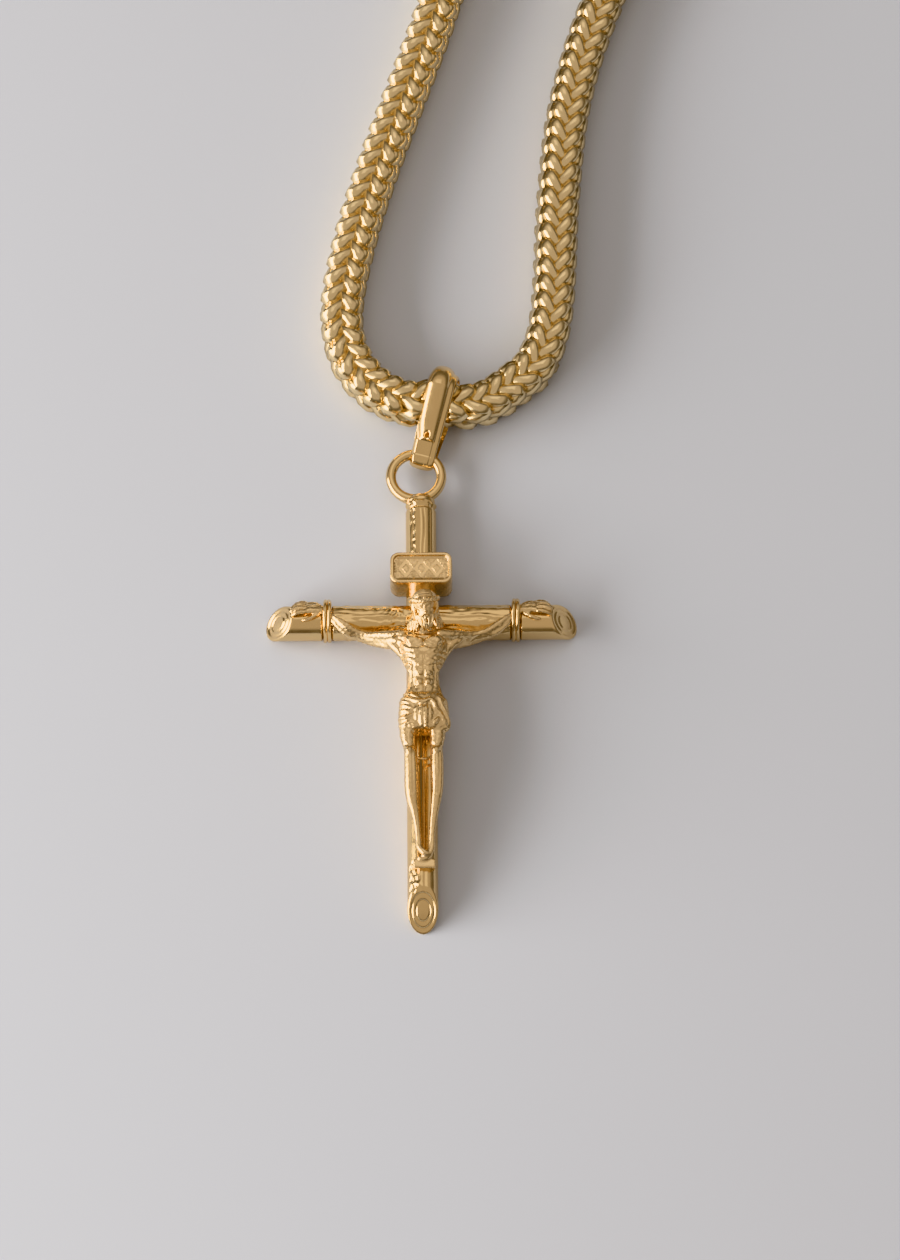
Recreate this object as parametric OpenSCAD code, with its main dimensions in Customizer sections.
// Crucifix pendant on a foxtail chain, lying face up.
// Millimetres. X runs along the crossbar, Y up the upright to the ring and the bail, Z up from the surface.
// The origin is on the surface, under the crossing of the two bars.

/* [Bars] */
// Length of the crossbar, tip to tip
crossbar_l = 20; // [18:0.5:26]
// Diameter of the crossbar
crossbar_d = 2.24; // [1.9:0.02:2.8]
// Diameter of the upright
upright_d = 1.96; // [1.7:0.02:2.5]
// From the crossbar's axis down to the upright's lower tip
lower_l = 21.4; // [20.5:0.1:26]
// From the crossbar's axis up to the upright's top
upper_l = 7.9; // [6:0.1:12]
// Depth of the plain flat along the crossbar's back
back_flat = 0.12; // [0.02:0.02:0.3]
// Length of the slant cut on each crossbar end
crossbar_slant = 1.7; // [0.8:0.1:2.4]
// Length of the slant cut on the upright's lower end
upright_slant = 2.5; // [1.2:0.1:3.2]
// Width of the oval grooves on the slant cuts
groove_w = 0.12; // [0.06:0.02:0.2]
// Depth of the oval grooves on the slant cuts
groove_t = 0.1; // [0.04:0.02:0.2]

/* [Hanging ring] */
// Outer diameter of the ring
ring_d = 3.9; // [3.2:0.02:5]
// Diameter of the ring's wire
ring_wire = 0.67; // [0.5:0.01:0.9]
// Length of the neck between the upright's top and the ring
ring_neck = 0.5; // [0.2:0.05:1]
// Diameter of that neck
neck_d = 1.6; // [1:0.05:1.7]
// How far the ring sits beside the upright's axis
ring_shift = 0.3; // [0:0.05:0.4]

/* [Title plaque] */
// Width of the plaque
plaque_w = 3.96; // [3:0.02:6]
// Height of the plaque along the upright
plaque_h = 2.16; // [1.4:0.02:3]
// From the crossbar's axis to the plaque's centre
plaque_y = 3.02; // [2.6:0.02:4.5]
// How far the plaque's front stands above the upright
plaque_rise = 1.0; // [0.5:0.05:1.6]
// How far the plaque's sides reach back beside the upright
plaque_skirt = 1.2; // [0.6:0.05:1.6]
// Corner radius of the plaque
plaque_r = 0.56; // [0.2:0.02:0.7]
// Width of the plaque's raised rim
plaque_rim = 0.2; // [0.1:0.02:0.4]
// Depth of the plaque's sunk panel
plaque_sink = 0.16; // [0.06:0.02:0.3]

/* [Wrist bands] */
// From the upright's axis to the middle of each band
band_x = 6.02; // [5:0.05:7]
// Diameter of each of the band's two wires
band_wire = 0.28; // [0.2:0.01:0.4]
// Depth of the seat cut for the band round the crossbar
band_seat = 0.18; // [0.1:0.02:0.3]
// How far the band rises over the wrist
band_rise = 0.42; // [0.3:0.02:0.6]

/* [Corpus] */
// Length of the torso from the shoulders to the top of the thighs
torso_l = 6.6; // [6:0.1:7.4]
// Width across the shoulders
shoulder_w = 3.24; // [2.8:0.02:3.8]
// Depth of the chest
chest_t = 1.64; // [1.3:0.02:2]
// Height of the head from the chin to the crown
head_h = 2.3; // [1.9:0.05:2.7]
// Width of the face
face_w = 1.5; // [1.2:0.05:1.9]
// Length of a leg from the hip to the ankle
leg_l = 8.2; // [7.6:0.1:9]
// Diameter of a thigh
thigh_d = 0.92; // [0.7:0.02:1.1]
// Diameter of an upper arm
arm_d = 0.86; // [0.6:0.02:1]
// Length of a hand
hand_l = 2.0; // [1.5:0.05:2.4]
// Length of the crossed feet below the ankles
foot_l = 1.35; // [1.1:0.05:1.7]
// Width of the foot block
foot_block_w = 1.5; // [1:0.05:1.9]
// Thickness of the loincloth over the hips
cloth_t = 0.13; // [0.06:0.01:0.2]
// How far the corpus hangs beside the upright's axis
figure_x = 0.12; // [-0.2:0.02:0.2]

/* [Bail] */
// Width of the bail at the chain
bail_w = 2.06; // [1.4:0.02:2.4]
// Width of the bail at the ring, as a share of that
bail_taper = 0.72; // [0.6:0.02:1]
// Height of the bail round the chain
bail_h = 4.1; // [3.9:0.05:5]
// Height of the bail round the ring
bail_end_h = 1.6; // [1.5:0.02:1.9]
// Wall of the bail at the chain
bail_wall = 0.42; // [0.3:0.02:0.6]
// Wall of the bail at the ring
bail_end_wall = 0.3; // [0.2:0.02:0.32]
// Distance between the bail's two rounded ends
bail_span = 3.8; // [3.5:0.05:5]
// Lean of the bail to the side
bail_lean = 13.5; // [0:0.5:16]

/* [Chain] */
// Diameter of the chain
chain_d = 2.6; // [2.2:0.05:2.8]
// Width of the chain's loop as it lies
loop_w = 95.5; // [85:0.5:115]
// Length of the loop from the bail to the clasp
loop_l = 152.6; // [140:0.5:180]
// Length of the clasp's barrel
clasp_l = 9; // [6:0.5:14]
// Diameter of the clasp's barrel
clasp_d = 3.0; // [2.6:0.1:4]
// Length of the collar that takes each chain end
collar_l = 3; // [2:0.25:5]
// Wall of the collar round the chain end
collar_wall = 0.3; // [0.2:0.05:0.6]

/* [Hidden] */

gold = "#C9A35C";
gap = 0.03;
loose = 0.06;
crossbar_r = crossbar_d / 2;
upright_r = upright_d / 2;
// Height of both bars' axes above the surface
axis_z = crossbar_r - back_flat;
ring_wire_r = ring_wire / 2;
ring_r = ring_d / 2 - ring_wire_r;
ring_y = upper_l + ring_neck + ring_d / 2;
chain_r = chain_d / 2;
// Circle facets: fine for turned metal, coarse inside hulls
round_fn = 72;
soft_fn = 12;
fine_fn = 8;

// Direction of a vector
function unit(v) = v / norm(v);

// Faces of a loft through rings of n points each, capped at both ends
function loft_faces(rings, n) = concat(
    [[for (j = [0:n - 1]) j]],
    [for (i = [0:rings - 2]) for (j = [0:n - 1]) let (k = (j + 1) % n)
        [i * n + j, (i + 1) * n + j, (i + 1) * n + k, i * n + k]],
    [[for (j = [n - 1:-1:0]) (rings - 1) * n + j]]);

// Faces of a loft whose last ring runs on into its first
function closed_faces(rings, n) = [for (i = [0:rings - 1]) for (j = [0:n - 1])
    let (k = (j + 1) % n, m = (i + 1) % rings) [i * n + j, i * n + k, m * n + k, m * n + j]];

// Solid loft through a list of rings, each a list of points
module loft(rings) {
    n = len(rings[0]);
    polyhedron([for (ring = rings) for (p = ring) p], loft_faces(len(rings), n), convexity = 6);
}

// Ring of n points of radius r round a place, square to a direction, with one point kept lowest
function ring_at(place, along, r, n) = let (side = unit(cross([0, 0, 1], along)), up = cross(along, side))
    [for (j = [0:n - 1]) let (a = 360 * j / n) place + r * (sin(a) * side - cos(a) * up)];

// Point of a smooth curve through p1 and p2, with p0 before and p3 after them
function curve_point(p0, p1, p2, p3, t) = 0.5 * (2 * p1 + (p2 - p0) * t
    + (2 * p0 - 5 * p1 + 4 * p2 - p3) * t * t + (3 * p1 - p0 - 3 * p2 + p3) * t * t * t);

// Smooth curve through the points of a route, with steps points to a stretch
function smooth_route(route, steps) = let (last = len(route) - 1) concat(
    [for (i = [0:last - 1]) for (s = [0:steps - 1])
        curve_point(route[max(i - 1, 0)], route[i], route[i + 1], route[min(i + 2, last)], s / steps)],
    [route[last]]);

// Direction of a curve at its point i, from the neighbours on either side
function heading(points, i) = unit(points[min(i + 1, len(points) - 1)] - points[max(i - 1, 0)]);

// Cylinder along X from the crossing plane out to a slant-cut end with two oval grooves
module slant_bar(length, d, slant) {
    tilt = atan(slant / d);
    difference() {
        rotate([0, 90, 0]) cylinder(h = length, d = d, $fn = round_fn);
        past_slant(length, d, tilt, 0);
        intersection() {
            past_slant(length, d, tilt, groove_t);
            translate([length / 2, 0, 0]) rotate([0, 90, 0]) union() {
                tube(0.82 * d, 0.82 * d - 2 * groove_w, length);
                tube(0.5 * d, 0.5 * d - 2 * groove_w, length);
            }
        }
    }
}

// Everything beyond a slant cut, which is moved back into the bar by a depth
module past_slant(length, d, tilt, depth) {
    translate([length, 0, -d / 2]) rotate([0, -tilt, 0]) translate([-depth, -d, -d])
        cube([3 * d, 2 * d, 5 * d]);
}

// Plain tube along Z
module tube(outer_d, inner_d, length) {
    difference() {
        cylinder(h = length, d = outer_d, $fn = round_fn);
        translate([0, 0, -1]) cylinder(h = length + 2, d = inner_d, $fn = round_fn);
    }
}

// Groove round the crossbar where a wrist band sits
module band_groove(side) {
    width = 2 * band_wire + 2 * gap;
    translate([side * band_x - width / 2, 0, 0]) rotate([0, 90, 0])
        tube(crossbar_d + 1, crossbar_d - 2 * band_seat, width);
}

// Both bars about the crossing, with their axes at height 0
module bars() {
    slant_bar(crossbar_l / 2, crossbar_d, crossbar_slant);
    rotate([0, 0, 180]) mirror([0, 1, 0]) slant_bar(crossbar_l / 2, crossbar_d, crossbar_slant);
    rotate([0, 0, -90]) slant_bar(lower_l, upright_d, upright_slant);
    rotate([-90, 0, 0]) union() {
        cylinder(h = upper_l, d = upright_d, $fn = round_fn);
        cylinder(h = upper_l + ring_neck + ring_wire_r, d = neck_d, $fn = round_fn);
    }
}

module cross() {
    color(gold) difference() {
        translate([0, 0, axis_z]) union() {
            difference() {
                bars();
                band_groove(-1);
                band_groove(1);
            }
            translate([-ring_shift, ring_y, 0]) rotate_extrude($fn = round_fn)
                translate([ring_r, 0]) circle(r = ring_wire_r, $fn = 32);
        }
        below_surface(0);
    }
}

// Everything lower than a height, out past the bars
module below_surface(z) {
    deep = 4 * crossbar_d;
    translate([-crossbar_l, -2 * lower_l, z - deep]) cube([2 * crossbar_l, 4 * lower_l, deep]);
}

// Outline of a rectangle with round corners, eight steps to a corner
function round_outline(w, h, r) = [for (corner = [0:3]) for (s = [0:8])
    let (a = 90 * corner + 90 * s / 8, sx = (corner == 0 || corner == 3) ? 1 : -1, sy = corner < 2 ? 1 : -1)
        [sx * (w / 2 - r) + r * cos(a), sy * (h / 2 - r) + r * sin(a)]];

// Raised lozenge of the panel's ornament
module lozenge(x, w, h) {
    translate([x, 0]) polygon([[w / 2, 0], [0, h / 2], [-w / 2, 0], [0, -h / 2]]);
}

module title_plaque() {
    front_z = axis_z + upright_r + plaque_rise;
    back_z = axis_z + upright_r - plaque_skirt;
    panel_w = plaque_w - 2 * plaque_rim;
    panel_h = plaque_h - 2 * plaque_rim;
    color(gold) translate([0, plaque_y, 0]) {
        difference() {
            translate([0, 0, back_z]) linear_extrude(front_z - back_z)
                polygon(round_outline(plaque_w, plaque_h, plaque_r));
            translate([0, 0, front_z - plaque_sink]) linear_extrude(2 * plaque_sink)
                polygon(round_outline(panel_w, panel_h, max(plaque_r - plaque_rim, 0.05)));
            translate([0, -plaque_h, axis_z]) rotate([-90, 0, 0])
                cylinder(h = 2 * plaque_h, r = upright_r + gap, $fn = round_fn);
            translate([-upright_r - gap, -plaque_h, -axis_z])
                cube([2 * (upright_r + gap), 2 * plaque_h, 2 * axis_z]);
        }
        // The ornament starts a little below the panel's floor and stops short of the rim's top
        translate([0, 0, front_z - 1.3 * plaque_sink]) linear_extrude(plaque_sink) {
            for (x = [-1, 0, 1]) lozenge(0.27 * panel_w * x, 0.2 * panel_w, 0.56 * panel_h);
            for (y = [-1, 1]) translate([0, 0.4 * panel_h * y])
                square([0.8 * panel_w, 0.07 * panel_h], center = true);
        }
    }
}

// Radius of a band wire's path round the crossbar's axis, at angle a from the front towards +Y
function band_path_r(a) = crossbar_r - band_seat + gap + band_wire / 2
    + band_rise * exp(-pow((a - 22) / 48, 2));

// One open wire of a band, its two ends just above the surface
module band_wire_at(x) {
    r = band_wire / 2;
    base_r = crossbar_r - band_seat + gap + r;
    end_a = acos(-min((axis_z - r - 0.02) / base_r, 0.99));
    angles = [for (i = [0:20]) -end_a + 2 * end_a * i / 20];
    path = [for (a = angles) [x, band_path_r(a) * sin(a), axis_z + band_path_r(a) * cos(a)]];
    loft([for (i = [0:len(path) - 1]) let (along = heading(path, i), out = cross(along, [1, 0, 0]))
        [for (j = [0:7]) path[i] + r * (cos(45 * j) * [1, 0, 0] + sin(45 * j) * out)]]);
}

module band(side) {
    color(gold) union() {
        band_wire_at(side * band_x - 0.46 * band_wire);
        band_wire_at(side * band_x + 0.46 * band_wire);
    }
}

module left_band() {
    band(-1);
}

module right_band() {
    band(1);
}

// Ball of the corpus
module ball(place, r, facets = soft_fn) {
    translate(place) sphere(r = r, $fn = facets);
}

// Smooth limb through balls: each row is [place, radius]
module limb(rows, facets = soft_fn) {
    for (i = [0:len(rows) - 2]) hull() {
        ball(rows[i][0], rows[i][1], facets);
        ball(rows[i + 1][0], rows[i + 1][1], facets);
    }
}

// Place on the crossbar: x, angle from the front towards +Y, and distance from the bar's axis
function on_crossbar(x, a, r) = [x, r * sin(a), axis_z + r * cos(a)];

// Sections of the torso, from the neck's base down to the thighs.
// Columns: place along the torso from the shoulders, half width, half depth, height of the centre.
// Shares of torso_l, half of shoulder_w, half of chest_t and chest_t.
torso_rows = [
    [-0.06, 0.46, 0.50, 0.46],
    [0.00, 0.92, 0.72, 0.48],
    [0.08, 0.98, 0.92, 0.50],
    [0.18, 0.88, 1.02, 0.54],
    [0.29, 0.75, 1.00, 0.54],
    [0.42, 0.68, 0.86, 0.50],
    [0.56, 0.65, 0.72, 0.44],
    [0.68, 0.78, 0.80, 0.46],
    [0.82, 0.94, 0.92, 0.50],
    [0.94, 0.88, 0.86, 0.50],
    [1.00, 0.60, 0.60, 0.50],
];

// Joints of an arm, from the shoulder to the palm.
// Columns: place out to the band, angle round the crossbar, distance from its axis, radius.
// Shares of band_x, degrees, shares of crossbar_r and of half of arm_d.
arm_rows = [
    [0.23, -49, 2.32, 1.16],
    [0.38, -52, 1.95, 0.98],
    [0.61, -58, 1.38, 1.02],
    [0.80, -36, 1.24, 0.84],
    [0.93, -12, 1.14, 0.52],
    [1.00, 6, 1.06, 0.38],
    [1.07, 18, 1.12, 0.50],
];

// Joints of a leg, from the hip to the ankle: [place along the leg, side, height, radius],
// shares of leg_l, half of shoulder_w, chest_t and half of thigh_d.
leg_rows = [
    [0.00, 0.50, 0.45, 1.05],
    [0.19, 0.52, 0.56, 0.98],
    [0.32, 0.47, 0.66, 0.84],
    [0.45, 0.48, 0.68, 0.82],
    [0.58, 0.47, 0.54, 0.72],
    [0.84, 0.30, 0.36, 0.56],
    [1.00, 0.20, 0.26, 0.38],
];

// Rolls of the loincloth round the hips: [place along the torso on the left, the same on the right,
// bulge past the hips, radius], shares of torso_l and of chest_t.
roll_rows = [
    [0.70, 0.80, 0.06, 0.075],
    [0.76, 0.72, 0.08, 0.080],
    [0.83, 0.86, 0.08, 0.075],
    [0.90, 0.93, 0.07, 0.070],
];

shoulder_y = -crossbar_r - 0.173 * shoulder_w;
front_z = axis_z + upright_r + gap;
hip_y = shoulder_y - torso_l;
thigh_y = hip_y + 0.1 * torso_l;
ankle_y = thigh_y - leg_l;

// Place on the torso: side, share down from the shoulders, height share of the chest
function on_torso(x, down, up) = [figure_x + x, shoulder_y - down * torso_l, front_z + up * chest_t];

// Half width of the torso at a share of its length
function torso_half(down) = lookup(down, [for (row = torso_rows) [row[0], row[1]]]) * shoulder_w / 2;

module torso() {
    n = 20;
    loft([for (row = torso_rows) [for (j = [0:n - 1]) let (a = 360 * j / n)
        on_torso(row[1] * shoulder_w / 2 * cos(a), row[0], row[3] + row[2] / 2 * sin(a))]]);
    for (side = [-1, 1]) {
        hull() {
            ball(on_torso(side * 0.22 * shoulder_w, 0.13, 0.74), 0.2 * chest_t);
            ball(on_torso(side * 0.08 * shoulder_w, 0.17, 0.82), 0.16 * chest_t);
        }
        limb([[on_torso(side * 0.05 * shoulder_w, 0.31, 0.92), 0.1 * chest_t],
            [on_torso(side * 0.2 * shoulder_w, 0.4, 0.78), 0.1 * chest_t]]);
        limb([[on_torso(side * 0.05 * shoulder_w, 0.42, 0.78), 0.13 * chest_t],
            [on_torso(side * 0.05 * shoulder_w, 0.6, 0.68), 0.13 * chest_t]]);
    }
}

module arm(side) {
    limb([for (row = arm_rows) [on_crossbar(side * row[0] * band_x, row[1], row[2] * crossbar_r),
        row[3] * arm_d / 2]]);
}

// Palm with four fingers and a thumb, lying on the crossbar beyond the band
module hand(side) {
    start_x = band_x + band_wire;
    knuckle = 0.5 * hand_l;
    hull() for (a = [10, 46]) {
        ball(on_crossbar(side * (start_x + 0.12 * hand_l), a, 1.1 * crossbar_r), 0.2 * arm_d);
        ball(on_crossbar(side * (start_x + knuckle), a, 1.1 * crossbar_r), 0.19 * arm_d);
    }
    for (finger = [0:3]) let (a = 6 + 15 * finger) limb([
        [on_crossbar(side * (start_x + knuckle), a, 1.12 * crossbar_r), 0.14 * arm_d],
        [on_crossbar(side * (start_x + 0.82 * hand_l), a - 3, 1.16 * crossbar_r), 0.14 * arm_d],
        [on_crossbar(side * (start_x + 0.96 * hand_l), a - 8, 1.05 * crossbar_r), 0.12 * arm_d]], fine_fn);
    limb([[on_crossbar(side * (start_x + 0.2 * hand_l), 4, 1.1 * crossbar_r), 0.14 * arm_d],
        [on_crossbar(side * (start_x + 0.55 * hand_l), -12, 1.1 * crossbar_r), 0.12 * arm_d]], fine_fn);
}

// Place on a leg: side is -1 for the left one in the front view
function on_leg(side, row) = [figure_x + side * row[1] * shoulder_w / 2, thigh_y - row[0] * leg_l,
    front_z + row[2] * chest_t];

module leg(side) {
    limb([for (row = leg_rows) [on_leg(side, row), row[3] * thigh_d / 2]]);
}

// Crossed feet, one over the other, and the block under them
module feet() {
    for (rows = foot_rows) limb([for (row = rows) [on_feet(row[0], row[1], row[2]), row[3] * foot_l]]);
    translate(on_feet(0, -1.52, -0.22) - [foot_block_w / 2, 0, 0])
        cube([foot_block_w, 0.63 * foot_l, 0.46 * foot_l]);
}

// Place on the feet: side, up from the ankles and out from the upright, shares of foot_l
function on_feet(x, up, out) = [figure_x + x * foot_l, ankle_y + up * foot_l, front_z + out * foot_l];

// Joints of the upper and the lower foot, from the ankle to the toes.
// Columns: side, up, out and radius, shares of foot_l.
foot_rows = [
    [[-0.16, 0, 0.22, 0.15], [0.09, -0.56, 0.31, 0.18], [0.12, -1, 0.18, 0.15]],
    [[0.22, 0, 0.15, 0.15], [0.03, -0.52, 0.13, 0.18], [-0.1, -0.96, 0.12, 0.13]],
];

// Loincloth: a wrap round the hips, rolled folds across it, a flap in front and a loose end on one hip
module loincloth() {
    n = 24;
    // Place along the torso, and thickness of the wrap there as a share of cloth_t
    wrap = [[0.66, 0.15], [0.72, 0.77], [0.84, 1], [0.95, 0.92], [1.02, 0.3]];
    loft([for (row = wrap) let (cloth = row[1] * cloth_t, half = torso_half(min(row[0], 0.94)) + cloth)
        [for (j = [0:n - 1]) let (a = 360 * j / n)
            on_torso(half * cos(a), row[0], 0.5 + (0.46 + cloth / chest_t) * sin(a))]]);
    for (row = roll_rows) limb([for (s = [0:6]) let (
        a = 10 + 160 * s / 6,
        down = row[1] + (row[0] - row[1]) * s / 6,
        half = torso_half(min(down, 0.94)) + row[2] * chest_t)
        [on_torso(half * cos(a), down, 0.45 + (0.5 + row[2]) * sin(a)), row[3] * chest_t]], fine_fn);
    for (fold = [-1, 0, 1])
        limb([[on_torso(0.09 * shoulder_w * fold, 0.8, 0.98), 0.1 * chest_t],
            [on_torso(0.1 * shoulder_w * fold, 1.06 - 0.03 * abs(fold), 0.86), 0.08 * chest_t]], fine_fn);
    limb([[on_torso(0.3 * shoulder_w, 0.76, 0.9), 0.12 * chest_t],
        [on_torso(0.47 * shoulder_w, 0.9, 0.7), 0.13 * chest_t],
        [on_torso(0.5 * shoulder_w, 1.1, 0.5), 0.09 * chest_t]]);
}

// Place in the head's own frame: side, up to the crown, out from the face, shares of half its height
function on_head(x, up, out) = head_place + head_h / 2 * (x * [1, 0, 0]
    + up * [head_turn, cos(head_bow), sin(head_bow)] + out * [0, -sin(head_bow), cos(head_bow)]);

head_bow = 26;
head_turn = -0.1;
head_place = [figure_x + 0.02 * head_h, shoulder_y + 0.605 * head_h,
    front_z + 0.62 * chest_t + 0.34 * head_h];

// Bowed head with a plain face, long hair to the shoulders and a beard
module head() {
    face = face_w / head_h;
    ball(on_head(0, 0.3, -0.05), 0.36 * head_h);
    hull() {
        ball(on_head(0, 0.1, 0.02), face_w / 2);
        ball(on_head(0, -0.55, 0.12), 0.32 * face_w);
    }
    limb([[on_head(0, 0.2, 0.62), 0.07 * head_h], [on_head(0, -0.15, 0.78), 0.08 * head_h]]);
    limb([[on_head(-0.4 * face, 0.24, 0.6), 0.06 * head_h], [on_head(0.4 * face, 0.24, 0.6), 0.06 * head_h]]);
    limb([[on_head(0, -0.42, 0.52), 0.16 * head_h],
        [on_head(0, -0.95, 0.46), 0.15 * head_h],
        [on_head(0, -1.22, 0.4), 0.08 * head_h]]);
    for (side = [-1, 1]) {
        limb([[on_head(side * 0.3, 0.78, 0.2), 0.2 * head_h],
            [on_head(side * 0.6, 0.25, 0.08), 0.17 * head_h],
            [on_head(side * 0.62, -0.35, 0.0), 0.16 * head_h],
            [on_head(side * 0.6, -0.9, -0.12), 0.14 * head_h]]);
        limb([[on_head(side * 0.42, -0.3, 0.42), 0.11 * head_h],
            [on_head(side * 0.22, -0.9, 0.42), 0.13 * head_h]]);
    }
    limb([[on_head(-0.3, 0.7, -0.3), 0.26 * head_h], [on_head(-0.5, 0.1, -0.6), 0.26 * head_h]]);
    limb([[on_head(0, -0.5, -0.2), 0.24 * head_h], [on_torso(0, 0.04, 0.5), 0.3 * chest_t]]);
    for (side = [-1, 1]) limb([[on_head(0, 0.86, 0.3), 0.12 * head_h],
        [on_head(side * 0.55, 0.6, 0.3), 0.11 * head_h],
        [on_head(side * 0.78, 0.4, -0.1), 0.1 * head_h]]);
}

module corpus() {
    color(gold) difference() {
        union() {
            torso();
            head();
            loincloth();
            feet();
            for (side = [-1, 1]) {
                arm(side);
                hand(side);
                leg(side);
            }
        }
        corpus_seat();
    }
}

// What the corpus is cut back from: the bars, the wrist bands and the plaque, each with a gap
module corpus_seat() {
    translate([0, 0, axis_z]) {
        difference() {
            rotate([0, 90, 0]) cylinder(h = crossbar_l + 2, r = crossbar_r + gap, center = true, $fn = 48);
            for (side = [-1, 1]) translate([side * band_x, 0, 0]) rotate([0, 90, 0])
                cylinder(h = 2 * band_wire, r = crossbar_r + 4 * gap, center = true, $fn = 48);
        }
        rotate([0, 90, 0])
            cylinder(h = crossbar_l, r = crossbar_r - band_seat + gap, center = true, $fn = 48);
        rotate([90, 0, 0]) cylinder(h = 2 * lower_l, r = upright_r + gap, center = true, $fn = 48);
    }
    translate([-plaque_w / 2 - gap, plaque_y - plaque_h / 2 - loose, 0])
        cube([plaque_w + 2 * gap, plaque_h, front_z + 2 * chest_t + head_h]);
    for (side = [-1, 1]) band_clearance(side);
    below_surface(axis_z / 2);
}

// Everything from a band's inner side outwards
module band_clearance(side) {
    width = 2 * band_wire + 2 * gap;
    inner = [for (a = [-120:10:120]) (band_path_r(a) - band_wire / 2 - gap) * [-cos(a), sin(a)]];
    outer = [for (a = [120:-10:-120]) (band_path_r(a) + crossbar_d) * [-cos(a), sin(a)]];
    translate([side * band_x - width / 2, 0, axis_z]) rotate([0, 90, 0])
        linear_extrude(width) polygon(concat(inner, outer));
}

// The bail lies in a plane through its own axis: along it, up, and side to side
bail_start = [0.16, ring_y + ring_r - 0.29];
bail_axis = [sin(bail_lean), cos(bail_lean), 0];
bail_side = [cos(bail_lean), -sin(bail_lean), 0];
bail_end_z = max(bail_end_h / 2 + 0.02, axis_z - 0.02);

// Middle line of the bail's loop: a big round end at the chain, a small one at the ring, straight between.
// Each entry is [along, height, direction outwards along, direction outwards up, share out from the ring,
// distance out from the place to the strip's outside].
function bail_loop() = let (big = bail_h / 2, small = bail_end_h / 2)
    concat(
        [for (i = [0:14]) let (a = -90 + 180 * i / 14) [bail_span, big, cos(a), sin(a), 1, big]],
        [for (s = [1, 2, 3]) let (t = s / 4) [bail_span * (1 - t), big + (bail_end_z - big) * t, 0, 1, 1 - t,
            big + (small - big) * t]],
        [for (i = [0:10]) let (a = 90 + 180 * i / 10) [0, bail_end_z, cos(a), sin(a), 0, small]],
        [for (s = [1, 2, 3]) let (t = s / 4) [bail_span * t, bail_end_z + (big - bail_end_z) * t, 0, -1, t,
            small + (big - small) * t]]);

// D-shaped section of the strip: flat inside, round outside. Columns: share of half width, share of wall
bail_section = [[-1, 0], [-1, 0.3], [-0.86, 0.62], [-0.6, 0.86], [-0.3, 0.97], [0, 1], [0.3, 0.97],
    [0.6, 0.86], [0.86, 0.62], [1, 0.3], [1, 0]];

module bail() {
    loop = bail_loop();
    rings = [for (p = loop) let (
        wall = bail_end_wall + (bail_wall - bail_end_wall) * p[4],
        half = bail_w / 2 * (bail_taper + (1 - bail_taper) * p[4]))
        [for (q = bail_section) let (r = p[5] - wall * (1 - q[1]))
            [bail_start[0], bail_start[1], 0] + bail_axis * (p[0] + r * p[2]) + bail_side * (half * q[0])
                + [0, 0, p[1] + r * p[3]]]];
    n = len(bail_section);
    color(gold) polyhedron([for (ring = rings) for (p = ring) p], closed_faces(len(rings), n), convexity = 8);
}

// Centre of the chain inside the bail
chain_start = [bail_start[0], bail_start[1], bail_wall + chain_r + loose] + bail_axis * bail_span;
// Routes of the chain's left and right halves, chosen by hand. Near the bail, from the chain's centre in it:
// X, Y and height above where the chain rests, in chain diameters
near_left = [[-0.75, -0.03, 0.154], [-1.6, 0.51, 0], [-2.17, 1.4, 0], [-2.25, 2.63, 0], [-1.9, 4.43, 0],
    [-1.21, 6.67, 0]];
near_right = [[0.6, -0.14, 0.161], [1.21, 0.01, 0.077], [1.83, 0.47, 0], [2.48, 1.13, 0], [2.87, 2.55, 0],
    [3.06, 5.74, 0], [3.37, 8.32, 0]];
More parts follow.
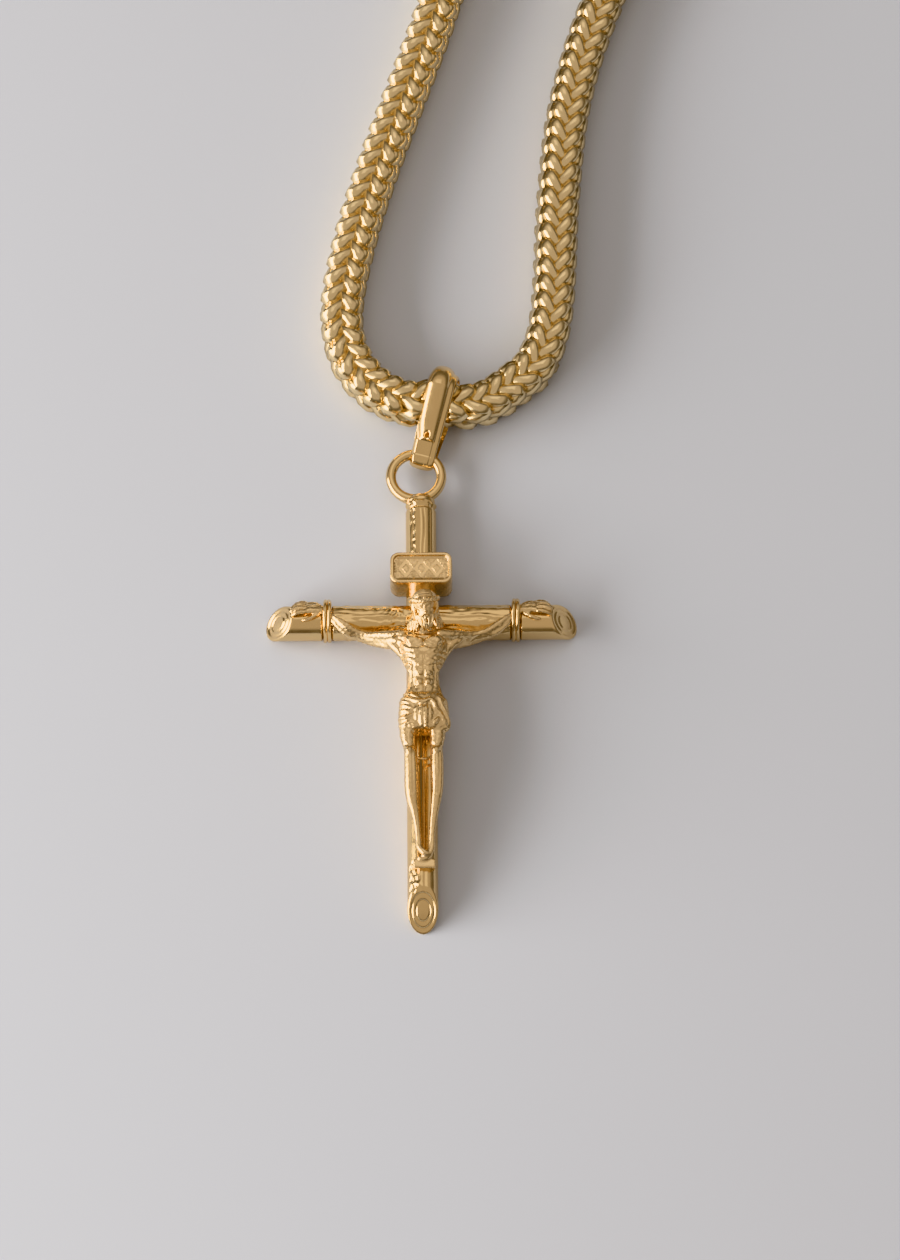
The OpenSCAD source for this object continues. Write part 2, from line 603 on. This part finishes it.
// Round the loop: X and Y as shares of loop_w and loop_l
far_left = [[0.004, 0.186], [0.019, 0.2335], [0.012, 0.286], [-0.032, 0.358], [-0.095, 0.43], [-0.158, 0.509],
    [-0.199, 0.594], [-0.21, 0.686], [-0.184, 0.777], [-0.126, 0.856], [-0.037, 0.928], [0.073, 0.98]];
far_right = [[0.112, 0.186], [0.146, 0.2335], [0.204, 0.283], [0.293, 0.329], [0.418, 0.371], [0.544, 0.417],
    [0.659, 0.476], [0.743, 0.548], [0.79, 0.633], [0.79, 0.725], [0.743, 0.817], [0.659, 0.896],
    [0.544, 0.955], [0.45, 0.985]];
collar_r = chain_r + loose + collar_wall;
clasp_place = [chain_start[0] + 0.261 * loop_w, chain_start[1] + loop_l, collar_r];
// Floor of a collar's bore, and from the clasp's middle to where the chain ends inside it
collar_end = 0.2 * clasp_d;
chain_stop = clasp_l / 2 + collar_end + loose;

// Places of a half's route: near ones first, then those round the loop
function chain_route(near, far) = concat(
    [for (p = near) [chain_start[0], chain_start[1], chain_r] + chain_d * p],
    [for (p = far) [chain_start[0] + p[0] * loop_w, chain_start[1] + p[1] * loop_l, chain_r]]);

module chain_half(near, far, side) {
    stop = clasp_place + [side * chain_stop, 0, 0];
    mouth = clasp_place + [side * (clasp_l / 2 + collar_l + chain_r), 0, 0];
    curve = smooth_route(concat([chain_start], chain_route(near, far), [mouth]), 2);
    points = [for (p = concat(curve, [stop])) [p[0], p[1], max(p[2], chain_r)]];
    color(gold) loft([for (i = [0:len(points) - 1])
        ring_at(points[i], i == 0 ? side * bail_side : heading(points, i), chain_r, 12)]);
}

module chain_left() {
    chain_half(near_left, far_left, -1);
}

module chain_right() {
    chain_half(near_right, far_right, 1);
}

// Plain barrel with a collar for each end of the chain
module clasp() {
    color(gold) translate(clasp_place) rotate([0, 90, 0]) difference() {
        union() {
            cylinder(h = clasp_l, d = clasp_d, center = true, $fn = round_fn);
            for (side = [-1, 1]) translate([0, 0, side * (clasp_l + collar_l) / 2])
                cylinder(h = collar_l, r = collar_r, center = true, $fn = round_fn);
        }
        for (side = [-1, 1]) translate([0, 0, side * (clasp_l / 2 + collar_end + collar_l)])
            cylinder(h = 2 * collar_l, r = chain_r + loose, center = true, $fn = round_fn);
    }
}

cross();
corpus();
title_plaque();
left_band();
right_band();
bail();
chain_left();
chain_right();
clasp();
